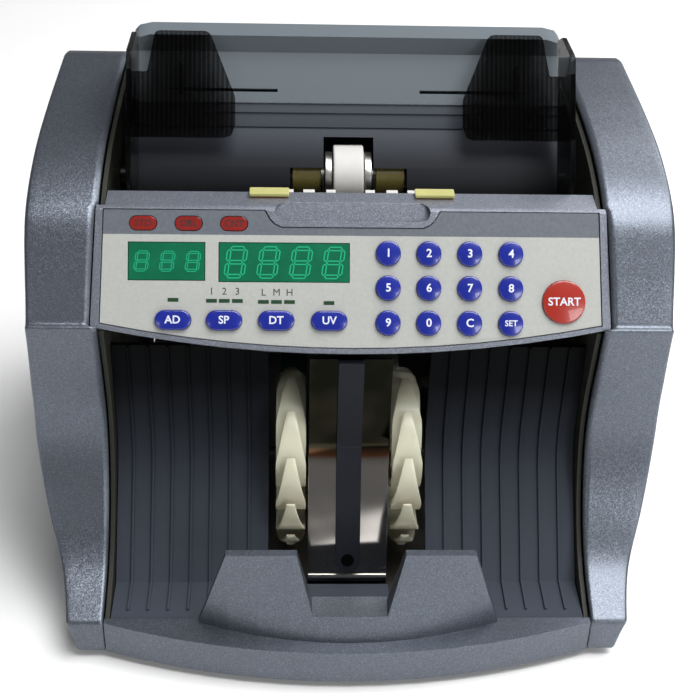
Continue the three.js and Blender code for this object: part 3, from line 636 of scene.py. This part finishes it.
def cover_outline():
    """The side view of a cover, as (y, z): waist beside the pocket, nose, shoulder and back."""
    waist = spline([(TOE_Y, LIP_Z), (-78.5, 30), (-61.5, 47), (-50.5, 68), (-47, 88), (-49.5, 112),
                    (-52.5, 133.6)], 70)
    shoulder = spline([sloping(9.3, 0.6), sloping(34, 1.6), sloping(57, -1), (8, 180.2),
                       (45, COVER_TOP - 0.6), (98.9, COVER_TOP)], 80)
    heel = spline([(98.9, COVER_TOP), (111, 180), (117, 170), (BACK_Y, 150)], 24)[1:]
    points = [(TOE_Y, BASE_Z), *waist, *shoulder, *heel, (BACK_Y, BASE_Z)]
    return relaxed(resampled(points, 1.1), 2)


FLANK = spline([(113.5, BASE_Z), (117.3, LIP_Z), (127, 44), (131.3, 68), (131.6, 92), (130, 132),
                (130.6, 160), (130.4, COVER_TOP + 2)], 120)


def flank_x(z):
    """Half width of the covers at a height."""
    z = min(max(z, FLANK[0][1]), FLANK[-1][1])
    for (x0, z0), (x1, z1) in zip(FLANK, FLANK[1:]):
        if z0 <= z <= z1:
            return x0 + (x1 - x0) * (z - z0) / max(z1 - z0, 1e-9)
    return FLANK[-1][0]


def inner_edge(y, z):
    """Where a cover's band begins: wider beside the panel than elsewhere."""
    p = Vector((0, y * MM, z * MM)) - SLOPE.translation
    v, w = p.dot(UP) / MM, p.dot(OUT) / MM
    beside_panel = 8.6 < v < 58 and -21 < w < 8
    return 102.4 + (57.6 - v) * 2 / 48.9 + 0.5 if beside_panel else INNER_X


def cover(side):
    """A thin shell: a band that follows the outline, rounded over into the curved flank."""
    outline = cover_outline()
    n = len(outline)
    edges = [(Vector(outline[i]), Vector(outline[(i + 1) % n])) for i in range(n)]
    area = sum(a.x * b.y - b.x * a.y for a, b in edges)
    turn = 1 if area > 0 else -1
    normals = []
    for i in range(n):
        t = (Vector(outline[(i + 1) % n]) - Vector(outline[i - 1])).normalized()
        normals.append(Vector((-t.y, t.x)) * turn)

    def depth(p):
        """Distance to the outline, and whether the point is inside it."""
        best, inside = 1e9, False
        for a, b in edges:
            ab = b - a
            t = min(max((p - a).dot(ab) / ab.length_squared, 0), 1)
            best = min(best, (p - a - ab * t).length)
            if (a.y > p.y) != (b.y > p.y) and p.x < a.x + (p.y - a.y) * ab.x / ab.y:
                inside = not inside
        return best if inside else -best

    points = [Vector(p) for p in outline]
    depths = [0.0] * n
    for k in range(1, 8):
        d = EDGE_ROUND * (1 - math.cos(math.pi / 2 * k / 7))
        for p, normal in zip(outline, normals):
            q = Vector(p) + normal * d
            if abs(depth(q) - d) < 0.12:
                points.append(q)
                depths.append(d)
    pitch = 4.0
    for i in range(int((BACK_Y - TOE_Y) / pitch) + 1):
        for j in range(int((COVER_TOP - BASE_Z) / pitch) + 1):
            q = Vector((TOE_Y + i * pitch, BASE_Z + j * pitch))
            d = depth(q)
            if d > EDGE_ROUND + 2.5:
                points.append(q)
                depths.append(d)
    rim = [(i, (i + 1) % n) for i in range(n)]
    flat, _, triangles, origin, _, _ = delaunay_2d_cdt(points, rim, [], 1, 1e-5)
    where = [o[0] if o else 0 for o in origin]
    verts = []
    for p, o in zip(flat, where):
        left = EDGE_ROUND - min(depths[o], EDGE_ROUND)
        fall = EDGE_ROUND - math.sqrt(max(EDGE_ROUND ** 2 - left ** 2, 0))
        verts.append((side * (flank_x(p.y) - fall), p.x, p.y))
    faces = [tuple(t) for t in triangles]
    of_outline = {o: i for i, o in enumerate(where) if o < n}
    columns = 9
    band = {}
    for i in range(n):
        y, z = outline[i]
        start, end = inner_edge(y, z), flank_x(z) - EDGE_ROUND
        for k in range(columns):
            band[i, k] = len(verts)
            verts.append((side * (start + (end - start) * k / columns), y, z))
        band[i, columns] = of_outline[i]
    faces += [(band[i, k], band[(i + 1) % n, k], band[(i + 1) % n, k + 1], band[i, k + 1])
              for i in range(n) for k in range(columns)]
    name = f"cover_{hand(side)}"
    obj = mesh_object(name, verts, faces)
    face_out(obj)
    shell = obj.modifiers.new("shell", "SOLIDIFY")
    shell.thickness = SHELL * MM
    shell.offset = -1
    for p in obj.data.polygons:
        p.use_smooth = True
    piece(obj, PAINT, replaces=["side_" + name])
    # The mesh is open towards the machine, so the largest face tells which way is out.
    outer = max(obj.data.polygons, key=lambda f: f.center.x * side)
    if outer.normal.x * side < 0:
        obj.data.flip_normals()


cover(-1)
cover(1)


# ---- keys ----------------------------------------------------------------------------------
KEY_TOP = 1.7  # the crown of a key, above the rim of the panel
KEY_BACK = -6.0
KEY_FLANGE = 0.9  # how far the flange behind the panel stands out all round
KEY_EDGE = 0.7  # rounding at the edge of a cap
CAP_GROW = 0.24  # the caps nearly fill their holes in the film


def key_cap(node, legend, size, mat):
    """A domed cap on a flange, and its raised legend."""
    low, high = slope_box(node)
    u, v = slope_middle(node)
    flange_r = (high[1] - low[1]) / 2 / MM
    half = (high[0] - low[0]) / 2 / MM - flange_r
    r = flange_r - KEY_FLANGE + CAP_GROW
    dome = 0.055 * (flange_r - KEY_FLANGE) + 0.1
    levels = [(flange_r, KEY_BACK), (flange_r, KEY_BACK + 1), (r, KEY_BACK + 1.02), (r, 0.1)]
    for k in range(7):
        a = math.pi / 2 * k / 6
        levels.append((r - KEY_EDGE * (1 - math.cos(a)), KEY_TOP - dome - KEY_EDGE + KEY_EDGE * math.sin(a)))
    rim = r - KEY_EDGE

    def top(distance):
        return KEY_TOP - dome * min(distance / rim, 1) ** 2

    levels += [(rim * f, top(rim * f)) for f in (0.85, 0.65, 0.4, 0.15)]
    rings = [[(x, y, w) for x, y in stadium(u, v, half, radius)] for radius, w in levels]
    cap = stacked("cap_" + node[4:], rings)
    cap.data.transform(SLOPE)
    soften(cap)
    piece(cap, mat, body=node, replaces=[node])
    place = Matrix.Translation((u * MM, v * MM, 0))
    text = lettering("legend_" + node[4:], legend, size, place, 0.06, 0.02 * size)
    for p in text.data.vertices:
        away = math.hypot(max(abs(p.co.x / MM - u) - half, 0), p.co.y / MM - v)
        p.co.z += (top(away) + 0.01) * MM
    text.data.transform(SLOPE)
    piece(text, INK, body=node)


LEGENDS = {**{str(d): (str(d), 4.6) for d in range(10)}, "clear": ("C", 4.6), "set": ("SET", 3.3)}
for label, (legend, size) in LEGENDS.items():
    key_cap("key_" + label, legend, size, BLUE)
key_cap("key_start", "START", 4.5, RED)
for label, legend in (("add", "AD"), ("speed", "SP"), ("detect", "DT"), ("lamp", "UV")):
    key_cap("key_" + label, legend, 4.4, BLUE)


# ---- displays ------------------------------------------------------------------------------
DIGIT_SLANT = math.radians(8)


def segments(cx, cy, w, h, bar, line):
    """The seven outlined bars of a digit, each as an outer and an inner outline."""
    slant = math.tan(DIGIT_SLANT)
    gap = bar * 0.12
    bars = []
    for y in (-h / 2, 0, h / 2):
        bars.append(((-w / 2 + gap, y), (w / 2 - gap, y)))
    for x in (-w / 2, w / 2):
        bars.append(((x, -h / 2 + gap), (x, -gap)))
        bars.append(((x, gap), (x, h / 2 - gap)))
    out = []
    for a, b in bars:
        a, b = Vector(a), Vector(b)
        d = (b - a).normalized()
        side = Vector((-d.y, d.x))
        for shrink in (0, line):
            t = bar / 2 - shrink
            ends = [a + d * shrink * 1.2, b - d * shrink * 1.2]
            ring = [ends[0], ends[0] + (d + side) * t, ends[1] + (side - d) * t,
                    ends[1], ends[1] - (d + side) * t, ends[0] + (d - side) * t]
            out.append([(cx + p.x + p.y * slant, cy + p.y) for p in ring])
    return out


def digits(name, node, count, w, h, pitch, bar, line, shift):
    """A row of unlit digits on the face of a window."""
    face = slope_box(node)[1][2]
    u, v = slope_middle(node)
    outlines = []
    for k in range(count):
        outlines += segments(u + shift + (k - (count - 1) / 2) * pitch, v, w, h, bar, line)
    obj = plate(name, outlines, 0.05, 0, on_slope(0, 0, face - SLOPE_W))
    piece(obj, SEGMENT)


digits("digits_batch", "window_batch", 3, 4.6, 7.2, 10.16, 1.2, 0.34, 0.3)
digits("digits_count", "window_count", 4, 6.6, 11.2, 13.0, 1.9, 0.5, 0.2)

BARS = [(-71.6, 19.7), (-56.3, 19.4), (-51.2, 19.4), (-46.0, 19.4), (-35.6, 19.1), (-30.4, 19.1),
        (-25.2, 19.1), (-9.4, 18.8)]
LABEL_RISE = 3.7  # a label's middle above its bar
bars = plate("led_bars", [rectangle(u, v, 2.15, 0.75, 0.2) for u, v in BARS], 0.12, 0,
             on_slope(0, 0, OVERLAY_FACE - 0.02 * MM))
piece(bars, LED)
labels = [lettering(f"label_{k}", text, 4.0, on_slope(u, v + LABEL_RISE, OVERLAY_FACE), 0.04, 0)
          for k, (text, (u, v)) in enumerate(zip("123LMH", BARS[1:7]))]
piece(join("bar_labels", labels), GREY_INK)

LAMP_FACE = slope_box("lamp_strip")[1][2] - SLOPE_W
LAMP_V = 50.2
lamp_names = [lettering(f"lamp_{k}", text, 3.7, on_slope(u, LAMP_V, LAMP_FACE), 0.03, 0.05)
              for k, (text, u) in enumerate((("STD", -83.7), ("DBL", -65.6), ("CNT", -47.5)))]
piece(join("lamp_names", lamp_names), LAMP_INK)


# ---- note guides ---------------------------------------------------------------------------
BED_W = -49.0  # the hopper's bed, below the rim of the panel
GUIDE_FACE = BED_W + 9.5
GUIDE_THICK = 2.2
FENCE_X = 90.2  # inner face of the side wall of a guide
REED_DEPTH = 0.02
GUIDE_ROWS = 5


def span_at(outline, u):
    """Lowest and highest v of an outline at a u."""
    hits = []
    n = len(outline)
    for i in range(n):
        (x0, y0), (x1, y1) = outline[i], outline[(i + 1) % n]
        if (x0 <= u < x1) or (x1 <= u < x0):
            hits.append(y0 + (y1 - y0) * (u - x0) / (x1 - x0))
    return (min(hits), max(hits)) if hits else None


def note_guide(side):
    """A reeded plate over the bed, with the side wall that the notes stand against."""
    name = hand(side)
    outline = rounded([(FENCE_X, 91.5), (92.35, 91.5), (92.35, 119.5), (86.6, 119.5), (83.4, 137.2),
                       (60.2, 137.2), (49, 109), (49, 97), (50.6, 92.6), (54, 91.5)],
                      [0.2, 0.2, 0.3, 0.8, 3, 4, 6, 5, 2, 3])
    low = min(p[0] for p in outline)
    high = max(p[0] for p in outline)
    columns = 8 * round((high - low) / REED_PITCH)
    verts = []
    rows = GUIDE_ROWS
    back = GUIDE_FACE - GUIDE_THICK
    for i in range(columns + 1):
        u = low + 0.02 + (high - low - 0.04) * i / columns
        bottom, top = span_at(outline, u)
        groove = REED_DEPTH * abs(math.sin(math.pi * u / REED_PITCH))
        for face in (GUIDE_FACE - REED_DEPTH + groove, back):
            verts += [(side * u, bottom + (top - bottom) * k / rows, face) for k in range(rows + 1)]
    step = 2 * (rows + 1)
    faces = []
    for i in range(columns):
        for k in range(rows):
            a = i * step + k
            b = a + rows + 1
            faces.append((a, a + step, a + step + 1, a + 1))
            faces.append((b, b + 1, b + step + 1, b + step))
        for k in (0, rows):
            a = i * step + k
            faces.append((a, a + rows + 1, a + step + rows + 1, a + step))
    for i in (0, columns):
        for k in range(rows):
            a = i * step + k
            faces.append((a, a + 1, a + rows + 2, a + rows + 1))
    reeds = mesh_object("reeds_" + name, verts, faces)
    face_out(reeds)
    reeds.data.transform(SLOPE)
    wall = rounded([(back, 66), (-25, 62), (-16.5, 66.5), (-11.5, 68), (-11.5, 122), (-31, 134.5),
                    (back, 135.5)], [2, 3, 2, 2, 5, 6, 1])
    on_fence = Matrix(((0, 0, 1, 0), (0, 1, 0, 0), (1, 0, 0, 0), (0, 0, 0, 1)))
    on_fence.translation = Vector(((FENCE_X if side > 0 else -FENCE_X - GUIDE_THICK) * MM, 0, 0))
    fence = plate("fence_" + name, [wall], GUIDE_THICK, 0.5, SLOPE @ on_fence)
    whole = join("guide_" + name, [reeds, fence])
    for p in whole.data.polygons:
        p.use_smooth = False
    piece(whole, SMOKED, body="guide_" + name, replaces=["note_guide_" + name])


def guide_rib(side):
    """The dark rib behind the reeded plate, over the blade that runs in the bed's slot."""
    back = BED_W + 0.6
    depth = GUIDE_FACE - GUIDE_THICK - 0.2 - back
    rib = plate("guide_rib_" + hand(side), [rectangle(side * 72.6, 117.25, 0.75, 6.75, 0.4)], depth, 0.1,
                on_slope(0, 0, back * MM))
    piece(rib, BLACK, body="guide_" + hand(side))


for guide_side in (-1, 1):
    note_guide(guide_side)
    guide_rib(guide_side)


# ---- finger wheels -------------------------------------------------------------------------
FINGERS = 12
WHEEL_R = 38.9
HUB_R = 14.0
FIRST_TIP = math.radians(82.5)
SWEEP = math.radians(80)  # from a finger's tip to its root
CURL = 2.1  # how late a finger dives to the hub
TIP_HALF = 1.75  # half width at the tip


def finger(cx, cy, cz, half, start):
    """A curled finger, narrow and thin at its tip, wide and thick where it meets the hub."""
    rings = []
    for k in range(23):
        t = k / 22
        angle = start + SWEEP * t
        r = WHEEL_R - (WHEEL_R - HUB_R + 1) * t ** CURL
        width = min(TIP_HALF + (half - TIP_HALF) * min(t / 0.42, 1), half)
        thick = 0.9 + 0.9 * min(t / 0.3, 1)
        crown = 0.35 * (1 - min(t / 0.6, 1))
        section = ((-width, r), (-width * 0.5, r + crown), (width * 0.5, r + crown), (width, r),
                   (width, r - thick), (-width, r - thick))
        rings.append([(cx + x, cy + rr * math.cos(angle), cz + rr * math.sin(angle)) for x, rr in section])
    return stacked("finger", rings)


def finger_wheel(side):
    """A hub with twelve curled fingers, which carry the notes down into the pocket."""
    node = "stacker_wheel_" + hand(side)
    low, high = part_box(node)
    cx, cy, cz = ((low + high) / 2) / MM
    half = (high.x - low.x) / 2 / MM
    flank = [(half, 4.4), (half, 9), (half - 0.6, 9.6), (half - 1, HUB_R)]
    hub = [(cx - x, r) for x, r in flank] + [(cx + x, r) for x, r in reversed(flank)]
    parts = [turned("hub", hub, (cy, cz), 48)]
    parts += [finger(cx, cy, cz, half, FIRST_TIP + 2 * math.pi * i / FINGERS) for i in range(FINGERS)]
    wheel = join("finger_wheel_" + hand(side), parts)
    soften(wheel, 0.25, 2, 40)
    piece(wheel, CREAM, body="stacker_rotor", replaces=[node])


finger_wheel(-1)
finger_wheel(1)


# ---- sensor arm ----------------------------------------------------------------------------
ARM_HALF = 5.2
ARM_THICK = 3.0
LENS_R = 2.75
LENS_UP = 5.6  # the lens's middle above the arm's lower end
FOLD_Y, FOLD_Z, FOLD_R = -74.9, 20.4, 0.45


def sensor_arm():
    """A bent strip with a round lower end, a dark lens near it, and the bright fold of the plate behind."""
    line = [(-77.6, 24.5), (-59.2, 71), (-57, 76), (-56, 81), (-55.7, 118.5)]
    points = [Vector(p) for p in spline(line[:2], 40)[:-1] + spline(line[1:], 30)]
    ahead = (points[1] - points[0]).normalized()
    out = Vector((-ahead.y, ahead.x))
    run = 0.0
    rings = []
    for i, p in enumerate(points):
        run += (p - points[i - 1]).length if i else 0.15
        d = (points[min(i + 1, len(points) - 1)] - points[max(i - 1, 0)]).normalized()
        normal = Vector((d.y, -d.x))
        half = math.sqrt(max(ARM_HALF ** 2 - max(ARM_HALF - run, 0) ** 2, 0.01))
        q = p + normal * (ARM_THICK - 0.1)
        rings.append([(x, a.x, a.y) for x, a in ((-half, p), (half, p), (half, q), (-half, q))])
    arm = stacked("arm", rings)
    soften(arm, 0.35, 2, 40)
    piece(arm, ARM, replaces=["sensor_arm"])
    centre = points[0] + ahead * LENS_UP + out * 0.02
    place = Matrix(((1, 0, 0, 0), (0, ahead.x, out.x, centre.x * MM), (0, ahead.y, out.y, centre.y * MM),
                    (0, 0, 0, 1)))
    lens = plate("sensor_lens", [circle(0, 0, LENS_R)], 0.25, 0.08, place)
    piece(lens, LENS)
    half_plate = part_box("stripper_plate")[1].x / MM - 0.2
    fold = stacked("plate_fold", [[(x, FOLD_Y + y, FOLD_Z + z) for y, z in circle(0, 0, FOLD_R, 10)]
                                  for x in (-half_plate, half_plate)])
    soften(fold)
    piece(fold, TURNED_STEEL)


sensor_arm()


# ---- rollers -------------------------------------------------------------------------------
TYRE_EDGE = 0.8
BORE_R = 4.3
TREAD = 12  # steps across a tyre


def roller(node, name, mat, ridge=0.0):
    """A tyre round its shaft, with rounded edges; ridge is the depth of the grooves round it."""
    low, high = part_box(node)
    cx, cy, cz = ((low + high) / 2) / MM
    half = (high.x - low.x) / 2 / MM
    r = (high.z - low.z) / 2 / MM - TYRE_EDGE
    side = [(half, BORE_R), (half, r)]
    side += [(half - TYRE_EDGE * (1 - math.cos(a)), r + TYRE_EDGE * math.sin(a)) for a in (0.5, 1.05)]
    face = half - TYRE_EDGE
    tread = [(cx - face + 2 * face * k / TREAD, r + TYRE_EDGE - (ridge if k % 2 else 0))
             for k in range(TREAD + 1)]
    profile = [(cx - x, y) for x, y in side] + tread + [(cx + x, y) for x, y in reversed(side)]
    obj = turned(name, profile, (cy, cz))
    soften(obj)
    piece(obj, mat, body="pickup_rotor", replaces=[node])


roller("pickup_roller", "feed_tyre", WHITE)
roller("side_roller_left", "side_tyre_left", AMBER, 0.25)
roller("side_roller_right", "side_tyre_right", AMBER, 0.25)


# ---- stage, lights, camera -----------------------------------------------------------------
FLOOR_HALF = 6  # metres
WORLD_LIGHT = 0.12
CAMERA_AT = (-0.0234, -0.5096, 0.4434)
YAW, PITCH, ROLL = (math.radians(a) for a in (2.83, 34.98, 1.91))
FOCAL, SENSOR = 71.4, 36


def stage():
    """A plain pale floor under an even, dim sky."""
    m = material("floor", (0.93, 0.93, 0.93), 0.7)
    link(m, ramp(m, noise(m, 6, 2), [(0.3, (0.92, 0.92, 0.92)), (0.7, (0.94, 0.94, 0.94))]), "Base Color")
    mesh = bpy.data.meshes.new("floor")
    corners = [(x * FLOOR_HALF, y * FLOOR_HALF, 0) for x, y in ((-1, -1), (1, -1), (1, 1), (-1, 1))]
    mesh.from_pydata(corners, [], [(0, 1, 2, 3)])
    floor = in_scene("floor", mesh)
    floor.data.materials.append(m)
    world = bpy.data.worlds.new("studio")
    world.use_nodes = True
    world.node_tree.nodes["Background"].inputs["Color"].default_value = (1, 1, 1, 1)
    world.node_tree.nodes["Background"].inputs["Strength"].default_value = WORLD_LIGHT
    bpy.context.scene.world = world
    bpy.context.scene.view_settings.view_transform = "Standard"


def area_light(name, at, aim, size, power):
    data = bpy.data.lights.new(name, "AREA")
    data.shape = "RECTANGLE"
    data.size, data.size_y = size
    data.energy = power
    obj = in_scene(name, data)
    obj.location = at
    obj.rotation_euler = (Vector(aim) - Vector(at)).to_track_quat("-Z", "Y").to_euler()


def camera():
    """The camera looks down at the panel from a little to the left."""
    ahead = Vector((math.sin(YAW) * math.cos(PITCH), math.cos(YAW) * math.cos(PITCH), -math.sin(PITCH)))
    right = Vector((math.cos(YAW), -math.sin(YAW), 0))
    above = right.cross(ahead)
    x = right * math.cos(ROLL) + above * math.sin(ROLL)
    y = above * math.cos(ROLL) - right * math.sin(ROLL)
    data = bpy.data.cameras.new("camera")
    data.sensor_width = SENSOR
    data.lens = FOCAL
    data.clip_start = 0.01
    obj = in_scene("camera", data)
    m = Matrix((x, y, -ahead)).transposed().to_4x4()
    m.translation = CAMERA_AT
    obj.matrix_world = m
    bpy.context.scene.camera = obj


stage()
camera()
area_light("overhead", (0.30, -0.10, 1.25), (0, 0, 0.1), (0.9, 0.9), 21)
area_light("front_right", (0.72, -1.25, 0.66), (0.05, 0, 0.1), (0.5, 0.5), 5.5)
area_light("right_side", (1.1, -0.7, 0.3), (0.12, 0, 0.08), (0.3, 0.4), 2)
area_light("front_left", (-0.7, -1.2, 0.6), (-0.05, 0, 0.1), (0.4, 0.5), 1.5)
area_light("floor_wash", (0.95, 0.95, 1.15), (0, 0.35, 0), (1.2, 0.8), 13)
